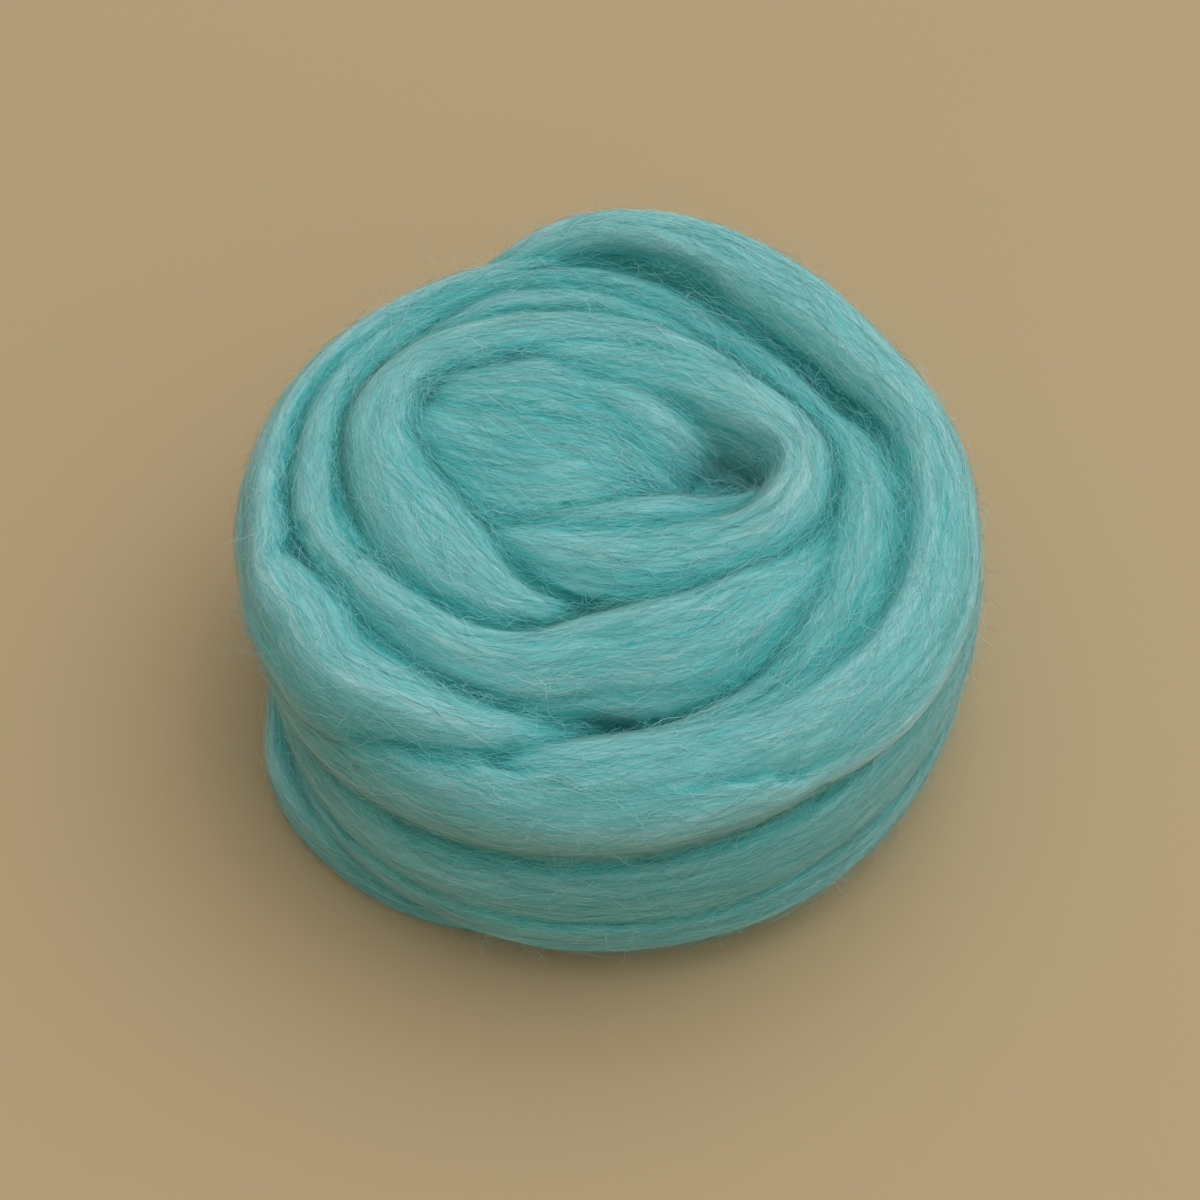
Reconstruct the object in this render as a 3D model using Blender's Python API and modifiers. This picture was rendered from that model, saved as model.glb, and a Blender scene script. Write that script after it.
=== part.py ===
"""Wool roving: one length of dyed wool top, wound by hand into a squat round coil.

Units are metres and degrees, +Z up. The origin is the middle of the flat underside, +X is
the coil's right and +Y its back. The coil is one solid: its broad turns are lofted one by
one, fused with the filling under them and cut flat where the coil rests. The fibres, and
the fine ridges that run along each turn, are left out here.
"""

from collections import namedtuple
from math import cos, pi, radians, sin

import bmesh
import bpy
import numpy as np
from mathutils import Matrix, Vector

# Driving dimensions
COIL_HUB = (0.0, -0.004)        # the point that the turns go round
EYE_HUB = (0.022, 0.005)        # the small hollow that the innermost turn goes round
RING_STEP = 0.0025              # distance between two cross-sections of a turn
RING_POINTS = 28                # points round each cross-section
TRIALS_PER_ROW = 12             # points for each table row when a strand is measured

CORE_RADIUS = 0.0575            # the filling under the turns
CORE_TOP = 0.0405
CORE_BOTTOM = -0.010
CORE_ROUNDING = 0.016
CORE_SEGMENTS = 64
CORE_ROUNDING_STEPS = 6

FUSE_CELL = 0.0011              # size of the cells in which the turns are fused
SMOOTH_FACTOR = 0.5
SMOOTH_ROUNDS = 8
FACE_BUDGET = 12000             # triangles kept before the underside is cut flat
CUT_BLOCK = 0.200               # side of the block that cuts the underside flat

WOOL_COLOR = (0.125, 0.440, 0.430, 1.0)
WOOL_ROUGHNESS = 0.9

# A strand is one broad turn of the wool, with a row for each of its cross-sections.
# turn: bearing about the hub, in degrees from +X towards +Y. reach: distance of the
# section's middle from the hub. crest: height of its top. width and depth: its size
# across and through. lean: degrees by which its outer side dips.
Section = namedtuple("Section", "turn reach crest width depth lean")
Strand = namedtuple("Strand", "hub sections")

# The wraps that make the side wall, from the surface upwards
LOWEST_WRAP = (
    Section(95, 0.0580, 0.0150, 0.0160, 0.0180, 0),
    Section(125, 0.0580, 0.0150, 0.0160, 0.0180, 0),
    Section(150, 0.0580, 0.0150, 0.0160, 0.0180, 0),
    Section(180, 0.0560, 0.0150, 0.0160, 0.0180, 0),
    Section(193, 0.0580, 0.0140, 0.0160, 0.0180, 0),
    Section(205, 0.0610, 0.0130, 0.0160, 0.0180, 0),
    Section(230, 0.0592, 0.0130, 0.0150, 0.0170, 0),
    Section(255, 0.0536, 0.0110, 0.0140, 0.0150, 0),
    Section(280, 0.0537, 0.0090, 0.0140, 0.0140, 0),
    Section(305, 0.0524, 0.0090, 0.0150, 0.0140, 0),
    Section(335, 0.0550, 0.0100, 0.0160, 0.0140, 0),
    Section(365, 0.0566, 0.0120, 0.0160, 0.0150, 0),
    Section(395, 0.0575, 0.0130, 0.0160, 0.0160, 0),
    Section(425, 0.0585, 0.0140, 0.0160, 0.0170, 0),
    Section(455, 0.0580, 0.0150, 0.0160, 0.0180, 0),
)
MIDDLE_WRAP = (
    Section(190, 0.0545, 0.0140, 0.0120, 0.0100, 0),
    Section(215, 0.0590, 0.0175, 0.0140, 0.0120, 0),
    Section(240, 0.0590, 0.0200, 0.0150, 0.0165, 0),
    Section(270, 0.0582, 0.0210, 0.0150, 0.0185, 0),
    Section(300, 0.0573, 0.0225, 0.0160, 0.0200, 0),
    Section(330, 0.0574, 0.0240, 0.0160, 0.0210, 0),
    Section(360, 0.0588, 0.0255, 0.0160, 0.0220, 0),
    Section(390, 0.0602, 0.0260, 0.0170, 0.0225, 0),
    Section(420, 0.0602, 0.0255, 0.0170, 0.0225, 0),
    Section(450, 0.0600, 0.0250, 0.0180, 0.0225, 0),
    Section(480, 0.0595, 0.0245, 0.0180, 0.0200, 0),
    Section(515, 0.0585, 0.0250, 0.0170, 0.0200, 0),
    Section(535, 0.0574, 0.0250, 0.0148, 0.0180, 0),
    Section(550, 0.0540, 0.0245, 0.0115, 0.0150, 0),
    Section(565, 0.0505, 0.0235, 0.0080, 0.0120, 0),
)
BROAD_WRAP = (
    Section(180, 0.0555, 0.0250, 0.0150, 0.0180, 0),
    Section(205, 0.0575, 0.0275, 0.0140, 0.0210, 0),
    Section(235, 0.0592, 0.0305, 0.0140, 0.0220, 0),
    Section(270, 0.0582, 0.0330, 0.0140, 0.0235, 0),
    Section(300, 0.0580, 0.0370, 0.0150, 0.0245, 0),
    Section(330, 0.0580, 0.0410, 0.0160, 0.0270, 0),
    Section(360, 0.0600, 0.0430, 0.0160, 0.0280, 0),
    Section(390, 0.0612, 0.0430, 0.0170, 0.0280, 0),
    Section(420, 0.0628, 0.0420, 0.0180, 0.0270, 0),
    Section(450, 0.0632, 0.0410, 0.0180, 0.0260, 0),
    Section(478, 0.0603, 0.0400, 0.0160, 0.0250, 0),
    Section(500, 0.0570, 0.0380, 0.0140, 0.0220, 0),
    Section(520, 0.0548, 0.0360, 0.0100, 0.0200, 0),
    Section(540, 0.0522, 0.0340, 0.0060, 0.0160, 0),
)
UPPER_WRAP = (
    Section(150, 0.0540, 0.0365, 0.0080, 0.0120, 20),
    Section(170, 0.0565, 0.0385, 0.0140, 0.0190, 20),
    Section(200, 0.0575, 0.0400, 0.0160, 0.0220, 20),
    Section(230, 0.0565, 0.0440, 0.0160, 0.0230, 20),
    Section(255, 0.0565, 0.0470, 0.0150, 0.0230, 20),
    Section(280, 0.0566, 0.0478, 0.0135, 0.0200, 20),
    Section(305, 0.0572, 0.0475, 0.0110, 0.0160, 20),
    Section(330, 0.0580, 0.0465, 0.0090, 0.0130, 20),
)
# The ridge over the back, which runs down the right side to the front rim
OUTER_TURN = (
    Section(205, 0.0570, 0.0350, 0.0130, 0.0140, 40),
    Section(225, 0.0565, 0.0380, 0.0140, 0.0140, 40),
    Section(245, 0.0550, 0.0430, 0.0160, 0.0150, 35),
    Section(262, 0.0530, 0.0480, 0.0170, 0.0160, 28),
    Section(280, 0.0525, 0.0500, 0.0180, 0.0160, 22),
    Section(300, 0.0540, 0.0510, 0.0180, 0.0150, 22),
    Section(320, 0.0560, 0.0520, 0.0180, 0.0150, 22),
    Section(340, 0.0570, 0.0530, 0.0170, 0.0160, 20),
    Section(360, 0.0574, 0.0535, 0.0170, 0.0165, 18),
    Section(380, 0.0591, 0.0545, 0.0154, 0.0160, 8),
    Section(400, 0.0583, 0.0560, 0.0171, 0.0165, 4),
    Section(420, 0.0612, 0.0568, 0.0192, 0.0165, 2),
    Section(436, 0.0657, 0.0572, 0.0153, 0.0165, 2),
    Section(448, 0.0683, 0.0562, 0.0118, 0.0160, 0),
    Section(458, 0.0685, 0.0535, 0.0105, 0.0150, 2),
    Section(468, 0.0668, 0.0492, 0.0080, 0.0125, 0),
    Section(477, 0.0646, 0.0465, 0.0068, 0.0100, 0),
    Section(488, 0.0622, 0.0440, 0.0050, 0.0080, 0),
)
# The turn along the left edge, which dives under the front rim
LEFT_TURN = (
    Section(88, 0.0620, 0.0470, 0.0120, 0.0180, 0),
    Section(104, 0.0642, 0.0500, 0.0110, 0.0200, 3),
    Section(120, 0.0642, 0.0510, 0.0100, 0.0220, 5),
    Section(138, 0.0638, 0.0510, 0.0120, 0.0240, 8),
    Section(154, 0.0635, 0.0500, 0.0128, 0.0240, 10),
    Section(168, 0.0618, 0.0500, 0.0138, 0.0240, 12),
    Section(180, 0.0598, 0.0500, 0.0150, 0.0240, 15),
    Section(188, 0.0594, 0.0495, 0.0136, 0.0230, 18),
    Section(195, 0.0580, 0.0508, 0.0176, 0.0225, 20),
    Section(203, 0.0562, 0.0512, 0.0202, 0.0220, 22),
    Section(214, 0.0560, 0.0508, 0.0190, 0.0200, 24),
    Section(226, 0.0530, 0.0500, 0.0180, 0.0180, 22),
    Section(239, 0.0505, 0.0490, 0.0150, 0.0150, 16),
    Section(250, 0.0475, 0.0470, 0.0120, 0.0130, 8),
    Section(260, 0.0450, 0.0440, 0.0090, 0.0100, 0),
    Section(268, 0.0430, 0.0400, 0.0060, 0.0080, 0),
)
# The spiral on top, from its outer turn inwards
FIRST_TURN = (
    Section(-85, 0.0480, 0.0460, 0.0100, 0.0120, 0),
    Section(-70, 0.0485, 0.0490, 0.0130, 0.0140, 0),
    Section(-52, 0.0480, 0.0500, 0.0160, 0.0150, 0),
    Section(-35, 0.0462, 0.0512, 0.0200, 0.0150, 0),
    Section(-18, 0.0462, 0.0522, 0.0215, 0.0150, 0),
    Section(0, 0.0468, 0.0525, 0.0205, 0.0150, 0),
    Section(20, 0.0464, 0.0515, 0.0152, 0.0150, 0),
    Section(30, 0.0456, 0.0506, 0.0124, 0.0150, 0),
    Section(40, 0.0455, 0.0510, 0.0119, 0.0150, -3),
    Section(60, 0.0480, 0.0512, 0.0121, 0.0150, -5),
    Section(78, 0.0541, 0.0510, 0.0118, 0.0150, -5),
    Section(94, 0.0597, 0.0503, 0.0117, 0.0150, -3),
    Section(110, 0.0615, 0.0500, 0.0110, 0.0150, 0),
    Section(130, 0.0613, 0.0505, 0.0100, 0.0150, 8),
    Section(148, 0.0588, 0.0510, 0.0115, 0.0150, 5),
    Section(164, 0.0553, 0.0510, 0.0125, 0.0150, 5),
    Section(180, 0.0520, 0.0510, 0.0135, 0.0160, 5),
    Section(195, 0.0470, 0.0510, 0.0140, 0.0160, 5),
)
SECOND_TURN = (
    Section(180, 0.0520, 0.0510, 0.0135, 0.0160, 5),
    Section(195, 0.0470, 0.0510, 0.0140, 0.0160, 5),
    Section(212, 0.0422, 0.0510, 0.0145, 0.0160, 5),
    Section(230, 0.0388, 0.0510, 0.0160, 0.0160, 5),
    Section(247, 0.0350, 0.0510, 0.0190, 0.0160, 5),
    Section(264, 0.0308, 0.0520, 0.0220, 0.0170, 5),
    Section(284, 0.0298, 0.0530, 0.0250, 0.0190, 8),
    Section(304, 0.0303, 0.0530, 0.0240, 0.0190, 8),
    Section(322, 0.0318, 0.0530, 0.0210, 0.0180, 5),
    Section(338, 0.0354, 0.0520, 0.0160, 0.0160, 5),
    Section(353, 0.0392, 0.0510, 0.0130, 0.0150, 0),
    Section(370, 0.0420, 0.0510, 0.0120, 0.0150, 0),
    Section(388, 0.0428, 0.0505, 0.0120, 0.0150, 0),
    Section(405, 0.0415, 0.0500, 0.0110, 0.0150, 0),
    Section(423, 0.0425, 0.0505, 0.0110, 0.0150, 0),
    Section(440, 0.0480, 0.0510, 0.0110, 0.0150, 0),
    Section(456, 0.0527, 0.0510, 0.0110, 0.0150, 0),
    Section(474, 0.0555, 0.0510, 0.0100, 0.0150, 0),
    Section(495, 0.0545, 0.0490, 0.0060, 0.0130, 0),
)
THIRD_TURN = (
    Section(40, 0.0370, 0.0500, 0.0100, 0.0140, 0),
    Section(56, 0.0380, 0.0530, 0.0120, 0.0160, 0),
    Section(72, 0.0395, 0.0540, 0.0130, 0.0170, 0),
    Section(90, 0.0415, 0.0540, 0.0160, 0.0170, 0),
    Section(107, 0.0445, 0.0540, 0.0165, 0.0170, 0),
    Section(123, 0.0478, 0.0540, 0.0155, 0.0170, 0),
    Section(138, 0.0500, 0.0540, 0.0130, 0.0170, 0),
    Section(152, 0.0475, 0.0540, 0.0160, 0.0170, 0),
    Section(166, 0.0415, 0.0540, 0.0195, 0.0180, 0),
    Section(180, 0.0355, 0.0540, 0.0235, 0.0190, 0),
    Section(196, 0.0310, 0.0535, 0.0235, 0.0190, 0),
    Section(213, 0.0280, 0.0525, 0.0195, 0.0180, 0),
    Section(229, 0.0255, 0.0510, 0.0130, 0.0150, 0),
    Section(243, 0.0228, 0.0490, 0.0090, 0.0120, 0),
    Section(256, 0.0200, 0.0450, 0.0050, 0.0080, 0),
)
# The flat middle, the tip in which it ends, the front slope of the small hollow and the
# innermost turn, which goes round them
BED = (
    Section(164, 0.0640, 0.0490, 0.0220, 0.0140, 0),
    Section(166, 0.0560, 0.0518, 0.0400, 0.0190, 4),
    Section(169, 0.0460, 0.0528, 0.0560, 0.0200, 6),
    Section(171, 0.0350, 0.0530, 0.0620, 0.0200, 6),
    Section(172, 0.0250, 0.0525, 0.0500, 0.0200, 5),
    Section(175, 0.0185, 0.0494, 0.0320, 0.0170, 3),
    Section(178, 0.0132, 0.0435, 0.0190, 0.0140, 0),
    Section(180, 0.0090, 0.0380, 0.0100, 0.0110, 0),
)
BED_TIP = (
    Section(155, 0.0520, 0.0470, 0.0120, 0.0110, 0),
    Section(151, 0.0420, 0.0510, 0.0190, 0.0140, 0),
    Section(147, 0.0320, 0.0530, 0.0220, 0.0160, 0),
    Section(143, 0.0245, 0.0533, 0.0205, 0.0160, 0),
    Section(139, 0.0185, 0.0520, 0.0175, 0.0160, 0),
    Section(134, 0.0145, 0.0485, 0.0140, 0.0150, 0),
    Section(126, 0.0118, 0.0430, 0.0100, 0.0120, 0),
)
HOLLOW_LIP = (
    Section(196, 0.0400, 0.0500, 0.0080, 0.0110, 0),
    Section(200, 0.0315, 0.0516, 0.0115, 0.0130, 0),
    Section(206, 0.0225, 0.0517, 0.0140, 0.0140, 0),
    Section(216, 0.0150, 0.0507, 0.0150, 0.0150, 0),
    Section(232, 0.0110, 0.0497, 0.0150, 0.0150, 0),
    Section(252, 0.0086, 0.0492, 0.0150, 0.0150, 0),
    Section(278, 0.0072, 0.0488, 0.0145, 0.0150, 0),
    Section(305, 0.0068, 0.0486, 0.0135, 0.0150, 0),
    Section(335, 0.0074, 0.0488, 0.0115, 0.0150, 0),
    Section(365, 0.0088, 0.0486, 0.0090, 0.0130, 0),
    Section(390, 0.0098, 0.0482, 0.0060, 0.0110, 0),
)
INNER_TURN = (
    Section(192, 0.0480, 0.0470, 0.0100, 0.0100, 0),
    Section(200, 0.0410, 0.0505, 0.0160, 0.0140, 0),
    Section(211, 0.0340, 0.0520, 0.0210, 0.0170, 0),
    Section(230, 0.0250, 0.0525, 0.0230, 0.0180, 0),
    Section(257, 0.0180, 0.0530, 0.0210, 0.0190, 0),
    Section(290, 0.0143, 0.0540, 0.0160, 0.0190, 0),
    Section(320, 0.0127, 0.0550, 0.0135, 0.0180, 0),
    Section(350, 0.0122, 0.0550, 0.0125, 0.0180, 0),
    Section(382, 0.0126, 0.0550, 0.0125, 0.0180, 0),
    Section(405, 0.0129, 0.0550, 0.0130, 0.0180, 0),
    Section(430, 0.0143, 0.0550, 0.0145, 0.0180, 0),
    Section(455, 0.0184, 0.0545, 0.0165, 0.0180, 0),
    Section(477, 0.0262, 0.0540, 0.0170, 0.0170, 0),
    Section(492, 0.0350, 0.0538, 0.0175, 0.0160, 0),
    Section(500, 0.0430, 0.0532, 0.0160, 0.0160, 0),
    Section(506, 0.0500, 0.0520, 0.0120, 0.0140, 0),
)

STRANDS = (
    Strand(COIL_HUB, LOWEST_WRAP),
    Strand(COIL_HUB, MIDDLE_WRAP),
    Strand(COIL_HUB, BROAD_WRAP),
    Strand(COIL_HUB, UPPER_WRAP),
    Strand(COIL_HUB, OUTER_TURN),
    Strand(COIL_HUB, LEFT_TURN),
    Strand(COIL_HUB, FIRST_TURN),
    Strand(COIL_HUB, SECOND_TURN),
    Strand(COIL_HUB, THIRD_TURN),
    Strand(EYE_HUB, BED),
    Strand(EYE_HUB, BED_TIP),
    Strand(EYE_HUB, HOLLOW_LIP),
    Strand(EYE_HUB, INNER_TURN),
)


def clear_scene():
    for found in list(bpy.data.objects):
        bpy.data.objects.remove(found, do_unlink=True)


def new_collection(name):
    collection = bpy.data.collections.new(name)
    bpy.context.scene.collection.children.link(collection)
    return collection


def wool_material():
    material = bpy.data.materials.new("dyed_wool")
    material.use_nodes = True
    shader = material.node_tree.nodes["Principled BSDF"]
    shader.inputs["Base Color"].default_value = WOOL_COLOR
    shader.inputs["Roughness"].default_value = WOOL_ROUGHNESS
    shader.inputs["Metallic"].default_value = 0.0
    return material


def table_value(rows, place):
    """Catmull-Rom value of a table's columns at a fractional row number."""
    last = len(rows) - 1
    step = min(int(place), last - 1)
    part = place - step
    before = rows[max(step - 1, 0)]
    start = rows[step]
    end = rows[step + 1]
    after = rows[min(step + 2, last)]
    return 0.5 * (2 * start + (end - before) * part
                  + (2 * before - 5 * start + 4 * end - after) * part ** 2
                  + (3 * start - before - 3 * end + after) * part ** 3)


def middle_point(hub, section):
    """The middle of a section: half its depth under its crest, at its turn and reach."""
    bearing = radians(section.turn)
    return Vector((hub[0] + section.reach * cos(bearing),
                   hub[1] + section.reach * sin(bearing),
                   section.crest - section.depth / 2))


def ring_points(middle, forward, section):
    """Points round one elliptical cross-section, square to the way the strand runs."""
    outward = forward.cross(Vector((0, 0, 1))).normalized()
    upward = outward.cross(forward)
    tilt = Matrix.Rotation(radians(section.lean), 3, forward)
    across = tilt @ outward * section.width / 2
    through = tilt @ upward * section.depth / 2
    angles = [2 * pi * index / RING_POINTS for index in range(RING_POINTS)]
    return [middle + across * cos(angle) + through * sin(angle) for angle in angles]


def strand_rings(strand):
    """Cross-sections about RING_STEP apart along the strand's smooth middle line."""
    rows = np.array(strand.sections)
    places = np.linspace(0, len(rows) - 1, TRIALS_PER_ROW * len(rows))
    sections = [Section(*table_value(rows, place)) for place in places]
    line = [middle_point(strand.hub, section) for section in sections]
    steps = [(end - start).length for start, end in zip(line, line[1:])]
    travelled = np.concatenate(([0.0], np.cumsum(steps)))
    count = int(travelled[-1] / RING_STEP)
    even_places = np.interp(np.linspace(0, travelled[-1], count), travelled, places)
    sections = [Section(*table_value(rows, place)) for place in even_places]
    middles = [middle_point(strand.hub, section) for section in sections]
    rings = []
    for index, section in enumerate(sections):
        ahead = middles[min(index + 1, count - 1)]
        behind = middles[max(index - 1, 0)]
        rings.append(ring_points(middles[index], (ahead - behind).normalized(), section))
    return rings


def add_strand(mesh, strand):
    """Loft a strand through its unlike cross-sections and close its two ends."""
    rings = [[mesh.verts.new(point) for point in ring] for ring in strand_rings(strand)]
    for ring, following in zip(rings, rings[1:]):
        for index in range(RING_POINTS):
            beside = (index + 1) % RING_POINTS
            mesh.faces.new((ring[index], ring[beside], following[beside], following[index]))
    mesh.faces.new(rings[0])
    mesh.faces.new(rings[-1])


def add_core(mesh):
    """The filling under the turns: a low drum with well rounded edges."""
    height = CORE_TOP - CORE_BOTTOM
    place = Matrix.Translation((COIL_HUB[0], COIL_HUB[1], CORE_BOTTOM + height / 2))
    bmesh.ops.create_cone(mesh, cap_ends=True, segments=CORE_SEGMENTS, radius1=CORE_RADIUS,
                          radius2=CORE_RADIUS, depth=height, matrix=place)
    rims = [edge for edge in mesh.edges if abs(edge.verts[0].co.z - edge.verts[1].co.z) < height / 2]
    bmesh.ops.bevel(mesh, geom=rims, offset=CORE_ROUNDING, segments=CORE_ROUNDING_STEPS,
                    profile=0.5, affect='EDGES')


def wound_mesh():
    """The core and every strand, still as separate closed shells that pass into each other."""
    mesh = bmesh.new()
    add_core(mesh)
    for strand in STRANDS:
        add_strand(mesh, strand)
    bmesh.ops.recalc_face_normals(mesh, faces=mesh.faces)
    data = bpy.data.meshes.new("roving")
    mesh.to_mesh(data)
    mesh.free()
    return data


def add_coil(collection, material):
    """The one solid: the shells fused into one skin and softened where turns meet."""
    coil = bpy.data.objects.new("roving", wound_mesh())
    collection.objects.link(coil)
    coil.data.materials.append(material)
    fuse = coil.modifiers.new("fuse_turns", 'REMESH')
    fuse.mode = 'VOXEL'
    fuse.voxel_size = FUSE_CELL
    fuse.use_smooth_shade = True
    soften = coil.modifiers.new("soften", 'SMOOTH')
    soften.factor = SMOOTH_FACTOR
    soften.iterations = SMOOTH_ROUNDS
    return coil


def cut_underside(coil, collection):
    bpy.ops.mesh.primitive_cube_add(size=CUT_BLOCK, location=(0, 0, -CUT_BLOCK / 2))
    block = bpy.context.object
    block.name = "underside_cutter"
    for linked in list(block.users_collection):
        linked.objects.unlink(block)
    collection.objects.link(block)
    block.hide_render = True
    block.display_type = 'WIRE'
    cut = coil.modifiers.new("flat_underside", 'BOOLEAN')
    cut.operation = 'DIFFERENCE'
    cut.solver = 'EXACT'
    cut.object = block


def thin_faces(coil):
    """Bring the fused skin down to the face budget."""
    graph = bpy.context.evaluated_depsgraph_get()
    evaluated = coil.evaluated_get(graph)
    triangles = sum(len(face.vertices) - 2 for face in evaluated.data.polygons)
    thin = coil.modifiers.new("thin_faces", 'DECIMATE')
    thin.decimate_type = 'COLLAPSE'
    thin.ratio = FACE_BUDGET / triangles


def main():
    clear_scene()
    coil_parts = new_collection("wool_roving")
    cutters = new_collection("cutters")
    coil = add_coil(coil_parts, wool_material())
    thin_faces(coil)
    cut_underside(coil, cutters)


main()
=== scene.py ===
from collections import namedtuple
from math import cos, pi, radians, sin

import bmesh
import bpy
import numpy as np
from mathutils import Matrix, Vector
from mathutils.bvhtree import BVHTree
from mathutils.noise import noise


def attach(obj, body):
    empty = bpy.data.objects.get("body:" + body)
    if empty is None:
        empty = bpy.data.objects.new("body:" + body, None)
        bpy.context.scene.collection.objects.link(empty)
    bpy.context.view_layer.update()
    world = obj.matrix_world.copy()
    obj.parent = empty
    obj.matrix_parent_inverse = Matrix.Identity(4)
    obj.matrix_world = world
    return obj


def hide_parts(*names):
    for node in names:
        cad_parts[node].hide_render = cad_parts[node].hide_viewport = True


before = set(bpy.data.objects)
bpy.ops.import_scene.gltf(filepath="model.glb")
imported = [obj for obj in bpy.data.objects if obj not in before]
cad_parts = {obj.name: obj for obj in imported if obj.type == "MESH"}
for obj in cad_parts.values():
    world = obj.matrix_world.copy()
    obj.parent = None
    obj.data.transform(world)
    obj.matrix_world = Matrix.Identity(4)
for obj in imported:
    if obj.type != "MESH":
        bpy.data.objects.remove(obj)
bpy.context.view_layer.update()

# Looks of the wool roving, in the part's frame: metres, +Z up, resting on z = 0.
# The skin is the same winding as in the part, swept more finely and with the long soft
# ridges of each turn. Over twenty thousand separate fibres lie along it.

# The winding
COIL_HUB = (0.0, -0.004)        # the point that the turns go round
EYE_HUB = (0.022, 0.005)        # the small hollow that the innermost turn goes round
RING_STEP = 0.0015              # distance between two cross-sections of a turn
RING_POINTS = 40                # points round each cross-section
TRIALS_PER_ROW = 12             # points for each table row when a strand is measured
CORE_RADIUS = 0.0575            # the filling under the turns
CORE_TOP = 0.0405
CORE_BOTTOM = -0.010
CORE_ROUNDING = 0.016
CORE_SEGMENTS = 64
CORE_ROUNDING_STEPS = 6
FUSE_CELL = 0.00092             # size of the cells in which the turns are fused
SMOOTH_FACTOR = 0.5
SMOOTH_ROUNDS = 7

# A strand is one broad turn of the wool, with a row for each of its cross-sections.
# turn: bearing about the hub, in degrees from +X towards +Y. reach: distance of the
# section's middle from the hub. crest: height of its top. width and depth: its size
# across and through. lean: degrees by which its outer side dips.
Section = namedtuple("Section", "turn reach crest width depth lean")
Strand = namedtuple("Strand", "hub sections")

# The wraps that make the side wall, from the surface upwards
LOWEST_WRAP = (
    Section(95, 0.0580, 0.0150, 0.0160, 0.0180, 0),
    Section(125, 0.0580, 0.0150, 0.0160, 0.0180, 0),
    Section(150, 0.0580, 0.0150, 0.0160, 0.0180, 0),
    Section(180, 0.0560, 0.0150, 0.0160, 0.0180, 0),
    Section(193, 0.0580, 0.0140, 0.0160, 0.0180, 0),
    Section(205, 0.0610, 0.0130, 0.0160, 0.0180, 0),
    Section(230, 0.0592, 0.0130, 0.0150, 0.0170, 0),
    Section(255, 0.0536, 0.0110, 0.0140, 0.0150, 0),
    Section(280, 0.0537, 0.0090, 0.0140, 0.0140, 0),
    Section(305, 0.0524, 0.0090, 0.0150, 0.0140, 0),
    Section(335, 0.0550, 0.0100, 0.0160, 0.0140, 0),
    Section(365, 0.0566, 0.0120, 0.0160, 0.0150, 0),
    Section(395, 0.0575, 0.0130, 0.0160, 0.0160, 0),
    Section(425, 0.0585, 0.0140, 0.0160, 0.0170, 0),
    Section(455, 0.0580, 0.0150, 0.0160, 0.0180, 0),
)
MIDDLE_WRAP = (
    Section(190, 0.0545, 0.0140, 0.0120, 0.0100, 0),
    Section(215, 0.0590, 0.0175, 0.0140, 0.0120, 0),
    Section(240, 0.0590, 0.0200, 0.0150, 0.0165, 0),
    Section(270, 0.0582, 0.0210, 0.0150, 0.0185, 0),
    Section(300, 0.0573, 0.0225, 0.0160, 0.0200, 0),
    Section(330, 0.0574, 0.0240, 0.0160, 0.0210, 0),
    Section(360, 0.0588, 0.0255, 0.0160, 0.0220, 0),
    Section(390, 0.0602, 0.0260, 0.0170, 0.0225, 0),
    Section(420, 0.0602, 0.0255, 0.0170, 0.0225, 0),
    Section(450, 0.0600, 0.0250, 0.0180, 0.0225, 0),
    Section(480, 0.0595, 0.0245, 0.0180, 0.0200, 0),
    Section(515, 0.0585, 0.0250, 0.0170, 0.0200, 0),
    Section(535, 0.0574, 0.0250, 0.0148, 0.0180, 0),
    Section(550, 0.0540, 0.0245, 0.0115, 0.0150, 0),
    Section(565, 0.0505, 0.0235, 0.0080, 0.0120, 0),
)
BROAD_WRAP = (
    Section(180, 0.0555, 0.0250, 0.0150, 0.0180, 0),
    Section(205, 0.0575, 0.0275, 0.0140, 0.0210, 0),
    Section(235, 0.0592, 0.0305, 0.0140, 0.0220, 0),
    Section(270, 0.0582, 0.0330, 0.0140, 0.0235, 0),
    Section(300, 0.0580, 0.0370, 0.0150, 0.0245, 0),
    Section(330, 0.0580, 0.0410, 0.0160, 0.0270, 0),
    Section(360, 0.0600, 0.0430, 0.0160, 0.0280, 0),
    Section(390, 0.0612, 0.0430, 0.0170, 0.0280, 0),
    Section(420, 0.0628, 0.0420, 0.0180, 0.0270, 0),
    Section(450, 0.0632, 0.0410, 0.0180, 0.0260, 0),
    Section(478, 0.0603, 0.0400, 0.0160, 0.0250, 0),
    Section(500, 0.0570, 0.0380, 0.0140, 0.0220, 0),
    Section(520, 0.0548, 0.0360, 0.0100, 0.0200, 0),
    Section(540, 0.0522, 0.0340, 0.0060, 0.0160, 0),
)
UPPER_WRAP = (
    Section(150, 0.0540, 0.0365, 0.0080, 0.0120, 20),
    Section(170, 0.0565, 0.0385, 0.0140, 0.0190, 20),
    Section(200, 0.0575, 0.0400, 0.0160, 0.0220, 20),
    Section(230, 0.0565, 0.0440, 0.0160, 0.0230, 20),
    Section(255, 0.0565, 0.0470, 0.0150, 0.0230, 20),
    Section(280, 0.0566, 0.0478, 0.0135, 0.0200, 20),
    Section(305, 0.0572, 0.0475, 0.0110, 0.0160, 20),
    Section(330, 0.0580, 0.0465, 0.0090, 0.0130, 20),
)
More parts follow.
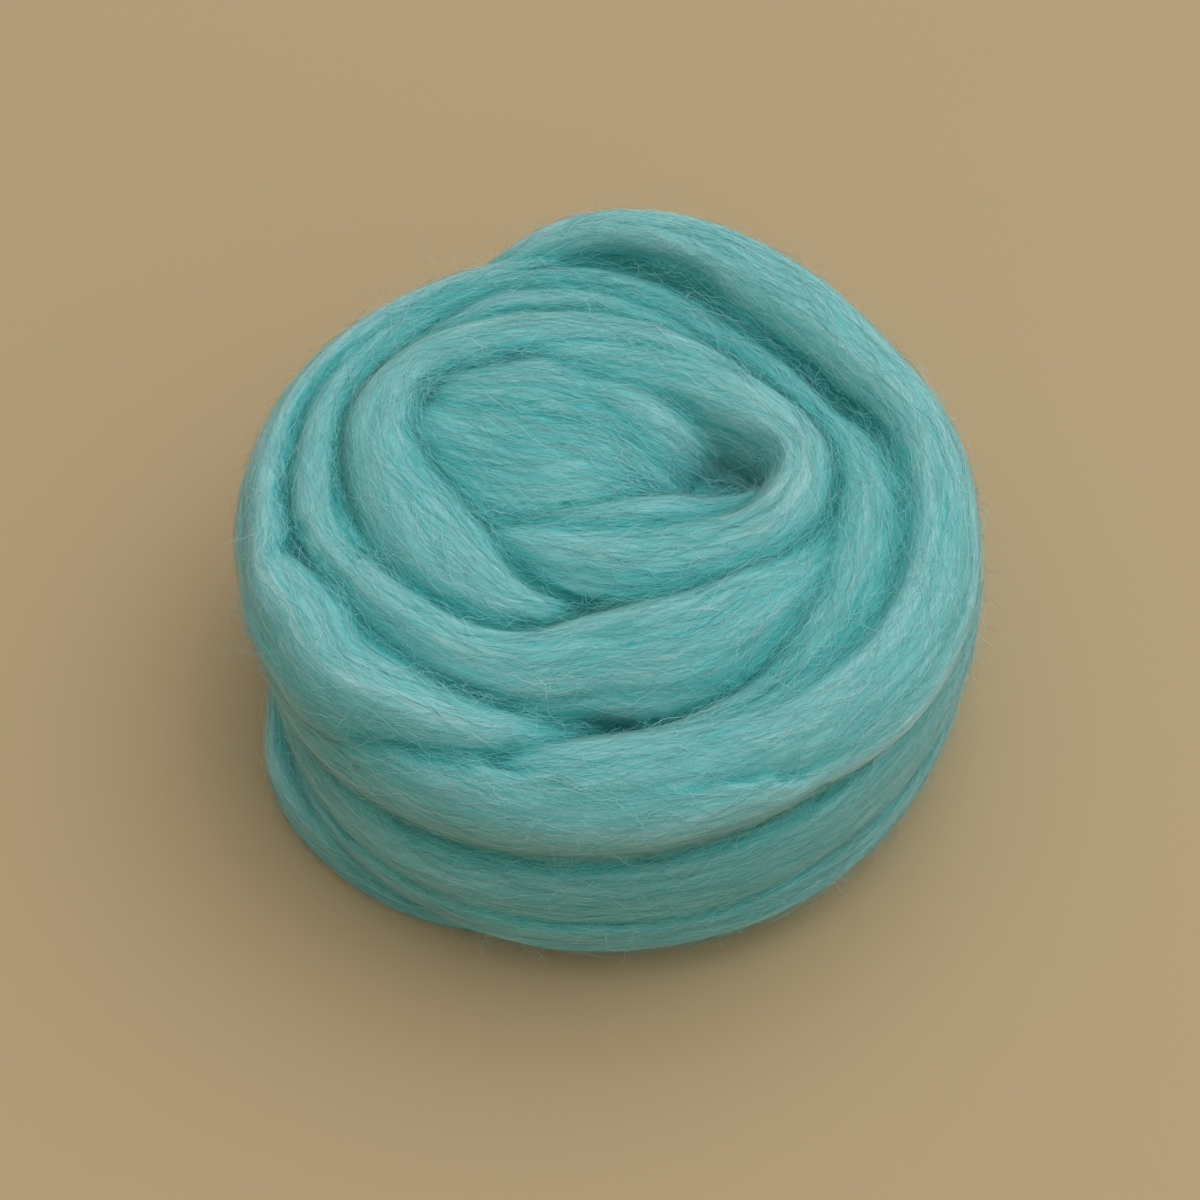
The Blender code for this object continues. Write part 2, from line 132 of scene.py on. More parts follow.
# The ridge over the back, which runs down the right side to the front rim
OUTER_TURN = (
    Section(205, 0.0570, 0.0350, 0.0130, 0.0140, 40),
    Section(225, 0.0565, 0.0380, 0.0140, 0.0140, 40),
    Section(245, 0.0550, 0.0430, 0.0160, 0.0150, 35),
    Section(262, 0.0530, 0.0480, 0.0170, 0.0160, 28),
    Section(280, 0.0525, 0.0500, 0.0180, 0.0160, 22),
    Section(300, 0.0540, 0.0510, 0.0180, 0.0150, 22),
    Section(320, 0.0560, 0.0520, 0.0180, 0.0150, 22),
    Section(340, 0.0570, 0.0530, 0.0170, 0.0160, 20),
    Section(360, 0.0574, 0.0535, 0.0170, 0.0165, 18),
    Section(380, 0.0591, 0.0545, 0.0154, 0.0160, 8),
    Section(400, 0.0583, 0.0560, 0.0171, 0.0165, 4),
    Section(420, 0.0612, 0.0568, 0.0192, 0.0165, 2),
    Section(436, 0.0657, 0.0572, 0.0153, 0.0165, 2),
    Section(448, 0.0683, 0.0562, 0.0118, 0.0160, 0),
    Section(458, 0.0685, 0.0535, 0.0105, 0.0150, 2),
    Section(468, 0.0668, 0.0492, 0.0080, 0.0125, 0),
    Section(477, 0.0646, 0.0465, 0.0068, 0.0100, 0),
    Section(488, 0.0622, 0.0440, 0.0050, 0.0080, 0),
)
# The turn along the left edge, which dives under the front rim
LEFT_TURN = (
    Section(88, 0.0620, 0.0470, 0.0120, 0.0180, 0),
    Section(104, 0.0642, 0.0500, 0.0110, 0.0200, 3),
    Section(120, 0.0642, 0.0510, 0.0100, 0.0220, 5),
    Section(138, 0.0638, 0.0510, 0.0120, 0.0240, 8),
    Section(154, 0.0635, 0.0500, 0.0128, 0.0240, 10),
    Section(168, 0.0618, 0.0500, 0.0138, 0.0240, 12),
    Section(180, 0.0598, 0.0500, 0.0150, 0.0240, 15),
    Section(188, 0.0594, 0.0495, 0.0136, 0.0230, 18),
    Section(195, 0.0580, 0.0508, 0.0176, 0.0225, 20),
    Section(203, 0.0562, 0.0512, 0.0202, 0.0220, 22),
    Section(214, 0.0560, 0.0508, 0.0190, 0.0200, 24),
    Section(226, 0.0530, 0.0500, 0.0180, 0.0180, 22),
    Section(239, 0.0505, 0.0490, 0.0150, 0.0150, 16),
    Section(250, 0.0475, 0.0470, 0.0120, 0.0130, 8),
    Section(260, 0.0450, 0.0440, 0.0090, 0.0100, 0),
    Section(268, 0.0430, 0.0400, 0.0060, 0.0080, 0),
)
# The spiral on top, from its outer turn inwards
FIRST_TURN = (
    Section(-85, 0.0480, 0.0460, 0.0100, 0.0120, 0),
    Section(-70, 0.0485, 0.0490, 0.0130, 0.0140, 0),
    Section(-52, 0.0480, 0.0500, 0.0160, 0.0150, 0),
    Section(-35, 0.0462, 0.0512, 0.0200, 0.0150, 0),
    Section(-18, 0.0462, 0.0522, 0.0215, 0.0150, 0),
    Section(0, 0.0468, 0.0525, 0.0205, 0.0150, 0),
    Section(20, 0.0464, 0.0515, 0.0152, 0.0150, 0),
    Section(30, 0.0456, 0.0506, 0.0124, 0.0150, 0),
    Section(40, 0.0455, 0.0510, 0.0119, 0.0150, -3),
    Section(60, 0.0480, 0.0512, 0.0121, 0.0150, -5),
    Section(78, 0.0541, 0.0510, 0.0118, 0.0150, -5),
    Section(94, 0.0597, 0.0503, 0.0117, 0.0150, -3),
    Section(110, 0.0615, 0.0500, 0.0110, 0.0150, 0),
    Section(130, 0.0613, 0.0505, 0.0100, 0.0150, 8),
    Section(148, 0.0588, 0.0510, 0.0115, 0.0150, 5),
    Section(164, 0.0553, 0.0510, 0.0125, 0.0150, 5),
    Section(180, 0.0520, 0.0510, 0.0135, 0.0160, 5),
    Section(195, 0.0470, 0.0510, 0.0140, 0.0160, 5),
)
SECOND_TURN = (
    Section(180, 0.0520, 0.0510, 0.0135, 0.0160, 5),
    Section(195, 0.0470, 0.0510, 0.0140, 0.0160, 5),
    Section(212, 0.0422, 0.0510, 0.0145, 0.0160, 5),
    Section(230, 0.0388, 0.0510, 0.0160, 0.0160, 5),
    Section(247, 0.0350, 0.0510, 0.0190, 0.0160, 5),
    Section(264, 0.0308, 0.0520, 0.0220, 0.0170, 5),
    Section(284, 0.0298, 0.0530, 0.0250, 0.0190, 8),
    Section(304, 0.0303, 0.0530, 0.0240, 0.0190, 8),
    Section(322, 0.0318, 0.0530, 0.0210, 0.0180, 5),
    Section(338, 0.0354, 0.0520, 0.0160, 0.0160, 5),
    Section(353, 0.0392, 0.0510, 0.0130, 0.0150, 0),
    Section(370, 0.0420, 0.0510, 0.0120, 0.0150, 0),
    Section(388, 0.0428, 0.0505, 0.0120, 0.0150, 0),
    Section(405, 0.0415, 0.0500, 0.0110, 0.0150, 0),
    Section(423, 0.0425, 0.0505, 0.0110, 0.0150, 0),
    Section(440, 0.0480, 0.0510, 0.0110, 0.0150, 0),
    Section(456, 0.0527, 0.0510, 0.0110, 0.0150, 0),
    Section(474, 0.0555, 0.0510, 0.0100, 0.0150, 0),
    Section(495, 0.0545, 0.0490, 0.0060, 0.0130, 0),
)
THIRD_TURN = (
    Section(40, 0.0370, 0.0500, 0.0100, 0.0140, 0),
    Section(56, 0.0380, 0.0530, 0.0120, 0.0160, 0),
    Section(72, 0.0395, 0.0540, 0.0130, 0.0170, 0),
    Section(90, 0.0415, 0.0540, 0.0160, 0.0170, 0),
    Section(107, 0.0445, 0.0540, 0.0165, 0.0170, 0),
    Section(123, 0.0478, 0.0540, 0.0155, 0.0170, 0),
    Section(138, 0.0500, 0.0540, 0.0130, 0.0170, 0),
    Section(152, 0.0475, 0.0540, 0.0160, 0.0170, 0),
    Section(166, 0.0415, 0.0540, 0.0195, 0.0180, 0),
    Section(180, 0.0355, 0.0540, 0.0235, 0.0190, 0),
    Section(196, 0.0310, 0.0535, 0.0235, 0.0190, 0),
    Section(213, 0.0280, 0.0525, 0.0195, 0.0180, 0),
    Section(229, 0.0255, 0.0510, 0.0130, 0.0150, 0),
    Section(243, 0.0228, 0.0490, 0.0090, 0.0120, 0),
    Section(256, 0.0200, 0.0450, 0.0050, 0.0080, 0),
)
# The flat middle, the tip in which it ends, the front slope of the small hollow and the
# innermost turn, which goes round them
BED = (
    Section(164, 0.0640, 0.0490, 0.0220, 0.0140, 0),
    Section(166, 0.0560, 0.0518, 0.0400, 0.0190, 4),
    Section(169, 0.0460, 0.0528, 0.0560, 0.0200, 6),
    Section(171, 0.0350, 0.0530, 0.0620, 0.0200, 6),
    Section(172, 0.0250, 0.0525, 0.0500, 0.0200, 5),
    Section(175, 0.0185, 0.0494, 0.0320, 0.0170, 3),
    Section(178, 0.0132, 0.0435, 0.0190, 0.0140, 0),
    Section(180, 0.0090, 0.0380, 0.0100, 0.0110, 0),
)
BED_TIP = (
    Section(155, 0.0520, 0.0470, 0.0120, 0.0110, 0),
    Section(151, 0.0420, 0.0510, 0.0190, 0.0140, 0),
    Section(147, 0.0320, 0.0530, 0.0220, 0.0160, 0),
    Section(143, 0.0245, 0.0533, 0.0205, 0.0160, 0),
    Section(139, 0.0185, 0.0520, 0.0175, 0.0160, 0),
    Section(134, 0.0145, 0.0485, 0.0140, 0.0150, 0),
    Section(126, 0.0118, 0.0430, 0.0100, 0.0120, 0),
)
HOLLOW_LIP = (
    Section(196, 0.0400, 0.0500, 0.0080, 0.0110, 0),
    Section(200, 0.0315, 0.0516, 0.0115, 0.0130, 0),
    Section(206, 0.0225, 0.0517, 0.0140, 0.0140, 0),
    Section(216, 0.0150, 0.0507, 0.0150, 0.0150, 0),
    Section(232, 0.0110, 0.0497, 0.0150, 0.0150, 0),
    Section(252, 0.0086, 0.0492, 0.0150, 0.0150, 0),
    Section(278, 0.0072, 0.0488, 0.0145, 0.0150, 0),
    Section(305, 0.0068, 0.0486, 0.0135, 0.0150, 0),
    Section(335, 0.0074, 0.0488, 0.0115, 0.0150, 0),
    Section(365, 0.0088, 0.0486, 0.0090, 0.0130, 0),
    Section(390, 0.0098, 0.0482, 0.0060, 0.0110, 0),
)
INNER_TURN = (
    Section(192, 0.0480, 0.0470, 0.0100, 0.0100, 0),
    Section(200, 0.0410, 0.0505, 0.0160, 0.0140, 0),
    Section(211, 0.0340, 0.0520, 0.0210, 0.0170, 0),
    Section(230, 0.0250, 0.0525, 0.0230, 0.0180, 0),
    Section(257, 0.0180, 0.0530, 0.0210, 0.0190, 0),
    Section(290, 0.0143, 0.0540, 0.0160, 0.0190, 0),
    Section(320, 0.0127, 0.0550, 0.0135, 0.0180, 0),
    Section(350, 0.0122, 0.0550, 0.0125, 0.0180, 0),
    Section(382, 0.0126, 0.0550, 0.0125, 0.0180, 0),
    Section(405, 0.0129, 0.0550, 0.0130, 0.0180, 0),
    Section(430, 0.0143, 0.0550, 0.0145, 0.0180, 0),
    Section(455, 0.0184, 0.0545, 0.0165, 0.0180, 0),
    Section(477, 0.0262, 0.0540, 0.0170, 0.0170, 0),
    Section(492, 0.0350, 0.0538, 0.0175, 0.0160, 0),
    Section(500, 0.0430, 0.0532, 0.0160, 0.0160, 0),
    Section(506, 0.0500, 0.0520, 0.0120, 0.0140, 0),
)

STRANDS = (
    Strand(COIL_HUB, LOWEST_WRAP),
    Strand(COIL_HUB, MIDDLE_WRAP),
    Strand(COIL_HUB, BROAD_WRAP),
    Strand(COIL_HUB, UPPER_WRAP),
    Strand(COIL_HUB, OUTER_TURN),
    Strand(COIL_HUB, LEFT_TURN),
    Strand(COIL_HUB, FIRST_TURN),
    Strand(COIL_HUB, SECOND_TURN),
    Strand(COIL_HUB, THIRD_TURN),
    Strand(EYE_HUB, BED),
    Strand(EYE_HUB, BED_TIP),
    Strand(EYE_HUB, HOLLOW_LIP),
    Strand(EYE_HUB, INNER_TURN),
)

# Long soft lobes along the turns, with a groove between each two. pitch: across the turn.
# run: along it. height: from groove to lobe.
Lobes = namedtuple("Lobes", "pitch run height seed")
LOBES = (
    Lobes(0.0130, 0.110, 0.0018, 3.1),
    Lobes(0.0062, 0.075, 0.0012, 7.7),
    Lobes(0.0030, 0.045, 0.0006, 12.3),
)
GROOVE_ROUNDING = 0.01          # softens the bottom of each groove between lobes
LOBE_MEAN = 0.28                # keeps the skin about level with the solid
LOBE_FOOT = (0.001, 0.004)      # height where the lobes start, and over which they grow
STRAND_SEED = 7.31              # sets each strand's lobes apart from the next one's
RUN_ROUNDS = 10                 # rounds that even out the way the wool runs

# The skin's painted shading is 0 on a face, 1 in a crease (painted shade) and below 0 on a crest
# (painted highlight)
WIDE_ROUNDS = 60                # rounds that soften the skin, to measure creases by
HOLLOW_DEPTH = 0.0012           # a crease this far under its softened surroundings gets the darkest painted shade
NEAR_ROUNDS = 6                 # the same for the narrow cleft in the bottom of a crease
CLEFT_DEPTH = 0.00035
CLEFT_SHADE = 0.8               # what the cleft adds to the painted shade
CREST_SHADE = -1.4              # the strongest painted highlight on a crest
FOOT_SHADE = 0.5                # the painted shade that the foot adds, near the floor
SHADE_FOOT = (0.001, 0.005)     # height of the foot in painted shade near the floor, and of the change above it
# Where one turn dives under another: painted deeper shade in the crease there, and painted
# lighter shade in the wide hollow. size: how far the painted shade reaches. amount: how deep it
# is there, or below 0 how light.
Shade = namedtuple("Shade", "x y z size amount")
SHADES = (
    Shade(0.0150, 0.0561, 0.0475, 0.0080, 0.2),
    Shade(0.0234, 0.0493, 0.0475, 0.0080, 1.2),
    Shade(0.0316, 0.0405, 0.0475, 0.0080, 1.2),
    Shade(0.0396, 0.0314, 0.0475, 0.0080, 1.2),
    Shade(0.0467, 0.0217, 0.0475, 0.0070, 1.4),
    Shade(-0.0574, 0.0015, 0.0460, 0.0060, 1.8),
    Shade(-0.0559, -0.0077, 0.0460, 0.0055, 2.2),
    Shade(-0.0118, -0.0224, 0.0470, 0.0060, 1.6),
    Shade(-0.0062, -0.0189, 0.0470, 0.0060, 2.2),
    Shade(-0.0022, -0.0428, 0.0450, 0.0070, -0.3),
    Shade(0.0089, -0.0415, 0.0450, 0.0070, 0.3),
    Shade(0.0210, -0.0363, 0.0450, 0.0070, 0.4),
    Shade(0.0210, 0.0142, 0.0450, 0.0100, -1.9),
)

# The fibres. length and segments: of one fibre. width: across it. lift: how high it lies over
# the skin. stray: degrees off the way the wool runs. crimp: the side swing of its waves.
# bridge: how far it spans a dip, from 0 to 1. lightness: how light its set is, from 0 to 1;
# the higher sets are lighter as painted light, the lower ones darker as painted shade.
Fibres = namedtuple("Fibres", "name count length segments width lift stray crimp bridge tint seed")
FIBRE_SETS = (
    Fibres("fibres_a", 2800, 0.017, 20, 0.00010, 0.00014, 8.0, 0.00008, 0.1, 0.42, 11),
    Fibres("fibres_b", 3600, 0.017, 20, 0.00009, 0.00025, 11.0, 0.00010, 0.2, 0.45, 12),
    Fibres("fibres_c", 4400, 0.016, 20, 0.00007, 0.00040, 15.0, 0.00012, 0.35, 0.48, 13),
    Fibres("fibres_d", 4700, 0.015, 20, 0.00006, 0.00062, 21.0, 0.00014, 0.5, 0.51, 14),
    Fibres("fibres_e", 4600, 0.014, 20, 0.00005, 0.00110, 32.0, 0.00018, 0.7, 0.54, 15),
    Fibres("fibres_f", 1500, 0.013, 20, 0.00004, 0.00210, 45.0, 0.00026, 1.0, 0.62, 16),
)
TINT_SPREAD = 0.15
SEED_HEIGHT = 0.0015            # no fibre starts on a face that is lower than this
LENGTH_SPREAD = (0.7, 1.2)      # least and most length, as shares of the set's
WIDTH_SPREAD = (0.7, 1.3)
TIP_WIDTH = 0.25                # share of its width that a fibre keeps at its ends
ROLL_SPREAD = 12                # degrees by which the ribbons roll about their own lines
SLOW_SWAY = 4.5                 # radians that each of the two sways runs through in a fibre
QUICK_SWAY = 11.0
LEAST_LIFT = 0.00004
LIFT_LIMIT = 2.2                # no fibre's lift is over this many times its set's
BOW_POWER = 0.7                 # below 1, so that a fibre rises soon after its start
RIPPLE = 0.4                    # share of the lift that ripples along a fibre
RIPPLE_RUN = 9                  # radians that the ripple runs through in a fibre
RIPPLE_STARTS = 6               # radians over which its start is spread
TIP_SHARE = 0.12                # share of the fibres that have a tip standing off
TIP_LIFT = 2.5                  # how far it stands off, in lifts
END_SINK = 0.00006              # how far both ends sink into the skin
CLEAR_LIFT = 0.0012             # a fibre this far over the skin has left the crease's painted shade
CLEAR_LIMIT = 0.8               # the most of the painted shade that it leaves behind
BRIDGE_ROUNDS = 40              # rounds that ease a fibre's path, to measure dips by
BRIDGE_LIMIT = 0.0012           # no fibre spans a dip deeper than this
CRIMP_PERIOD = 0.0022
PERIOD_SPREAD = (0.85, 1.2)
BUNCHING = 1.2                  # radians by which a fibre's waves bunch up and spread out
BUNCHING_RUN = 11               # radians that the bunching runs through in a fibre
LOCK_SIZE = 0.0050              # size of the loose locks in which fibres wave together
LOCK_SWING = 0.0004
LINE_FLOOR = 0.0003             # least height of a fibre's middle line
RIBBON_FLOOR = 0.0002           # least height of its edges

# The materials. A streak is noise drawn out along the wool: its width across the wool, its
# run along it and the detail of the noise.
Streak = namedtuple("Streak", "width run detail")
DRIFT = Streak(0.0025, 0.012, 2.0)
THREAD = Streak(0.0007, 0.018, 2.0)
FINE = Streak(0.00028, 0.013, 2.0)
MIDDLE = Streak(0.0011, 0.020, 2.0)
BROAD = Streak(0.0040, 0.050, 1.0)
STREAK_ROUGHNESS = 0.6
STREAK_SEED = 17.3              # sets each strand's streaks apart from the next one's
DRIFT_SHIFT = 0.0030            # how far the drift moves the streaks sideways
DRIFT_PHASE = 40.0              # radians by which it moves their waves along
STREAK_CRIMP = 0.00007          # side swing of the waves in the streaks
THREAD_SHARPNESS = 9.0
THREAD_WEIGHT = 0.11            # weights of the streaks in the colour
FINE_WEIGHT = 0.62
MIDDLE_WEIGHT = 0.30
BROAD_WEIGHT = 0.20
WEIGHT_SHIFT = -0.16
SKIN_SHADING = -0.28            # how far the painted shade darkens the skin, and the fibres
FIBRE_SHADING = -0.30
BUMP = {"Strength": 0.6, "Distance": 0.0003}
# Wool colours, from the depth of a crease to the top of a ridge: painted shade at the dark end,
# painted highlight at the light end; the skin's streaks and the fibres' lightness spread over them
# too
SHADE_AND_DARK_TONE = (0.007, 0.230, 0.226, 1.0)
SLOPE = (0.046, 0.440, 0.440, 1.0)
FACE = (0.200, 0.560, 0.570, 1.0)
HIGHLIGHT_AND_LIGHT_TONE = (0.540, 0.760, 0.775, 1.0)
SKIN_COLORS = ((0.0, SHADE_AND_DARK_TONE), (0.35, SLOPE), (0.62, FACE), (1.0, HIGHLIGHT_AND_LIGHT_TONE))
FIBRE_COLORS = ((0.0, SHADE_AND_DARK_TONE), (0.25, SLOPE), (0.60, FACE), (1.0, HIGHLIGHT_AND_LIGHT_TONE))
SHEEN_TINT = (1.0, 0.98, 0.96, 1.0)
SKIN_GLOSS = {"Roughness": 0.6, "Specular IOR Level": 0.3, "Sheen Weight": 0.35,
              "Sheen Roughness": 0.45, "Sheen Tint": SHEEN_TINT}
FIBRE_GLOSS = {"Roughness": 0.5, "Specular IOR Level": 0.35, "Sheen Weight": 0.4,
               "Sheen Roughness": 0.5, "Sheen Tint": SHEEN_TINT}

# The stage
FLOOR_REACH = 1.5               # from the middle of the floor to each of its sides
FLOOR_GRAIN = 6.0
FLOOR_COLORS = ((0.3, (0.462, 0.347, 0.201, 1.0)), (0.7, (0.490, 0.371, 0.216, 1.0)))
FLOOR_GLOSS = {"Roughness": 0.8, "Specular IOR Level": 0.2}
WINDOW_PLACE = (0.75, 0.75, 1.65)
WINDOW_TARGET = (0, 0, 0)
WINDOW_SIZE = 2.2
WINDOW_POWER = 13.0
WINDOW_COLOR = (1.0, 0.985, 0.96)
SKY_SLOPE = (0.45, 0.12, 0.55)  # which way the sky grows brighter
SKY_COLORS = (
    (0.0, (0.42, 0.37, 0.31, 1.0)),
    (0.35, (0.74, 0.73, 0.70, 1.0)),
    (0.70, (0.98, 1.0, 1.0, 1.0)),
)
SKY_STRENGTH = 0.98
CAMERA_PLACE = (-0.0022, -0.32744, 0.43855)
CAMERA_TARGET = (-0.0022, -0.0020, 0.0220)
CAMERA_LENS = 85
CAMERA_SENSOR = 36
CAMERA_NEAR = 0.01


def unit(vectors):
    """The vectors at a length of 1."""
    return vectors / np.maximum(np.linalg.norm(vectors, axis=-1, keepdims=True), 1e-12)


def dot(first, second):
    """The dot product of each two rows."""
    return np.einsum("ij,ij->i", first, second)


def share(points, start, end):
    """How far each point lies from start to end, from 0 to 1."""
    line = end - start
    reach = dot(points - start, line) / np.maximum(dot(line, line), 1e-18)
    return np.clip(reach, 0, 1)


def table_value(rows, place):
    """Catmull-Rom value of a table's columns at a fractional row number."""
    last = len(rows) - 1
    step = min(int(place), last - 1)
    part = place - step
    before = rows[max(step - 1, 0)]
    start = rows[step]
    end = rows[step + 1]
    after = rows[min(step + 2, last)]
    return 0.5 * (2 * start + (end - before) * part
                  + (2 * before - 5 * start + 4 * end - after) * part ** 2
                  + (3 * start - before - 3 * end + after) * part ** 3)


def middle_point(hub, section):
    """The middle of a section: half its depth under its crest, at its turn and reach."""
    bearing = radians(section.turn)
    return Vector((hub[0] + section.reach * cos(bearing),
                   hub[1] + section.reach * sin(bearing),
                   section.crest - section.depth / 2))


def ring_points(middle, forward, section):
    """Points round one elliptical cross-section, from its underside round and back."""
    outward = forward.cross(Vector((0, 0, 1))).normalized()
    upward = outward.cross(forward)
    tilt = Matrix.Rotation(radians(section.lean), 3, forward)
    across = tilt @ outward * section.width / 2
    through = tilt @ upward * section.depth / 2
    angles = [2 * pi * index / RING_POINTS - pi / 2 for index in range(RING_POINTS)]
    return [middle + across * cos(angle) + through * sin(angle) for angle in angles]


def strand_shell(strand):
    """Rings of points along a strand, and how far along the strand each ring lies."""
    rows = np.array(strand.sections)
    places = np.linspace(0, len(rows) - 1, TRIALS_PER_ROW * len(rows))
    sections = [Section(*table_value(rows, place)) for place in places]
    line = [middle_point(strand.hub, section) for section in sections]
    steps = [(end - start).length for start, end in zip(line, line[1:])]
    travelled = np.concatenate(([0.0], np.cumsum(steps)))
    count = int(travelled[-1] / RING_STEP)
    along = np.linspace(0, travelled[-1], count)
    even_places = np.interp(along, travelled, places)
    sections = [Section(*table_value(rows, place)) for place in even_places]
    middles = [middle_point(strand.hub, section) for section in sections]
    rings = []
    for index, section in enumerate(sections):
        ahead = middles[min(index + 1, count - 1)]
        behind = middles[max(index - 1, 0)]
        rings.append(ring_points(middles[index], (ahead - behind).normalized(), section))
    return np.array(rings), along


def shell_quads(ring_count, first):
    """Corner numbers of the quads between rings, when the rings' points start at first."""
    ring, point = np.meshgrid(np.arange(ring_count - 1), np.arange(RING_POINTS), indexing="ij")
    beside = (point + 1) % RING_POINTS
    here = first + ring * RING_POINTS
    ahead = here + RING_POINTS
    quads = np.stack([here + point, here + beside, ahead + beside, ahead + point], axis=-1)
    return quads.reshape(-1, 4)


class Winding:
    """All strands as shells, with the distance along and around for any point near them."""

    def __init__(self, strands):
        self.shells = []
        self.along = []
        self.first_quad = []
        points = []
        quads = []
        quad_strand = []
        point_total = 0
        quad_total = 0
        for number, strand in enumerate(strands):
            shell, along = strand_shell(strand)
            new_quads = shell_quads(len(shell), point_total)
            self.shells.append(shell)
            self.along.append(along)
            self.first_quad.append(quad_total)
            points.append(shell.reshape(-1, 3))
            quads.append(new_quads)
            quad_strand.append(np.full(len(new_quads), number))
            point_total += shell.shape[0] * shell.shape[1]
            quad_total += len(new_quads)
        self.points = np.concatenate(points)
        self.quads = np.concatenate(quads)
        self.quad_strand = np.concatenate(quad_strand)
        self.girth = [self.mean_girth(shell) for shell in self.shells]
        self.tree = BVHTree.FromPolygons(self.points.tolist(), self.quads.tolist())

    @staticmethod
    def mean_girth(shell):
        """The mean length round the rings of one strand."""
        sides = np.linalg.norm(np.roll(shell, -1, axis=1) - shell, axis=2)
        return float(sides.sum(axis=1).mean())

    def locate(self, points, tree=None, strand=None):
        """For each point: strand number, distance around and along, and the way the wool runs."""
        spots, quad = nearest_faces(tree or self.tree, points)
        if strand is not None:
            quad += self.first_quad[strand]
        number = self.quad_strand[quad]
        corner = self.points[self.quads[quad]]
        behind = (corner[:, 0] + corner[:, 1]) / 2
        ahead = (corner[:, 3] + corner[:, 2]) / 2
        left = (corner[:, 0] + corner[:, 3]) / 2
        right = (corner[:, 1] + corner[:, 2]) / 2
        forward = share(spots, behind, ahead)
        sideways = share(spots, left, right)
        local = quad - np.array(self.first_quad)[number]
        ring = local // RING_POINTS
        point_number = local % RING_POINTS
        ring_gap = np.array([along[1] for along in self.along])[number]
        girth = np.array(self.girth)[number]
        along = (ring + forward) * ring_gap
        around = (point_number + sideways) / RING_POINTS * girth
        run = unit(ahead - behind)
        return number, np.stack([around, along], axis=1), run

    def strand_tree(self, number):
        """A search tree of one strand alone."""
        chosen = self.quads[self.quad_strand == number]
        return BVHTree.FromPolygons(self.points.tolist(), chosen.tolist())


def nearest_faces(tree, points):
    """The nearest spot on the tree's faces for each point, and the number of its face."""
    spots = np.empty((len(points), 3))
    faces = np.empty(len(points), int)
    for index, point in enumerate(points.tolist()):
        spot, _, face, _ = tree.find_nearest(point)
        spots[index] = spot
        faces[index] = face
    return spots, faces


def link_object(name, data):
    """A new object for the data, in the scene."""
    made = bpy.data.objects.new(name, data)
    bpy.context.scene.collection.objects.link(made)
    return made


def new_object(name, points, faces):
    """A smooth mesh object from points and from faces with equal numbers of corners."""
    data = bpy.data.meshes.new(name)
    data.vertices.add(len(points))
    data.vertices.foreach_set("co", np.asarray(points, np.float32).ravel())
    faces = np.asarray(faces, np.int32)
    size = faces.shape[1]
    data.loops.add(faces.size)
    data.loops.foreach_set("vertex_index", faces.ravel())
    data.polygons.add(len(faces))
    data.polygons.foreach_set("loop_start", np.arange(len(faces), dtype=np.int32) * size)
    data.update(calc_edges=True)
    data.shade_smooth()
    return link_object(name, data)


def add_core(mesh):
    """The rounded drum of filling under the turns."""
    height = CORE_TOP - CORE_BOTTOM
    place = Matrix.Translation((COIL_HUB[0], COIL_HUB[1], CORE_BOTTOM + height / 2))
    bmesh.ops.create_cone(mesh, cap_ends=True, segments=CORE_SEGMENTS, radius1=CORE_RADIUS,
                          radius2=CORE_RADIUS, depth=height, matrix=place)
    rims = [edge for edge in mesh.edges
            if abs(edge.verts[0].co.z - edge.verts[1].co.z) < height / 2]
    bmesh.ops.bevel(mesh, geom=rims, offset=CORE_ROUNDING, segments=CORE_ROUNDING_STEPS,
                    profile=0.5, affect='EDGES')


def wound_object(winding):
    """The filling and all strands as closed shells that run into each other."""
    mesh = bmesh.new()
    add_core(mesh)
    points = [mesh.verts.new(point) for point in winding.points.tolist()]
    for quad in winding.quads.tolist():
        mesh.faces.new([points[corner] for corner in quad])
    first = 0
    for shell in winding.shells:
        mesh.faces.new(points[first:first + RING_POINTS])
        first += shell.shape[0] * RING_POINTS
        mesh.faces.new(points[first - RING_POINTS:first])
    bmesh.ops.recalc_face_normals(mesh, faces=mesh.faces)
    data = bpy.data.meshes.new("wound")
    mesh.to_mesh(data)
    mesh.free()
    return link_object("wound", data)


def fused_skin(winding):
    """Points and triangles of the filling and strands fused into one skin, cut flat at z = 0."""
    wound = wound_object(winding)
    fuse = wound.modifiers.new("fuse_turns", 'REMESH')
    fuse.mode = 'VOXEL'
    fuse.voxel_size = FUSE_CELL
    soften = wound.modifiers.new("soften", 'SMOOTH')
    soften.factor = SMOOTH_FACTOR
    soften.iterations = SMOOTH_ROUNDS
    graph = bpy.context.evaluated_depsgraph_get()
    fused = bmesh.new()
    fused.from_mesh(wound.evaluated_get(graph).data)
    everything = fused.verts[:] + fused.edges[:] + fused.faces[:]
    cut = bmesh.ops.bisect_plane(fused, geom=everything, dist=1e-6, plane_co=(0, 0, 0),
                                 plane_no=(0, 0, 1), clear_inner=True)
    rim = [item for item in cut["geom_cut"] if isinstance(item, bmesh.types.BMEdge)]
    bmesh.ops.contextual_create(fused, geom=rim)
    bmesh.ops.triangulate(fused, faces=fused.faces[:])
    fused.verts.index_update()
    points = np.array([vertex.co[:] for vertex in fused.verts])
    faces = np.array([[vertex.index for vertex in face.verts] for face in fused.faces])
    fused.free()
    bpy.data.objects.remove(wound, do_unlink=True)
    return points, faces


def mesh_edges(faces):
    """Each edge of the triangles once, as two point numbers."""
    pairs = np.concatenate([faces[:, [0, 1]], faces[:, [1, 2]], faces[:, [2, 0]]])
    return np.unique(np.sort(pairs, axis=1), axis=0)


def neighbour_sum(values, edges, total):
    """For each point, the sum of a value over the points that an edge joins it to."""
    return (np.bincount(edges[:, 0], values[edges[:, 1]], total)
            + np.bincount(edges[:, 1], values[edges[:, 0]], total))


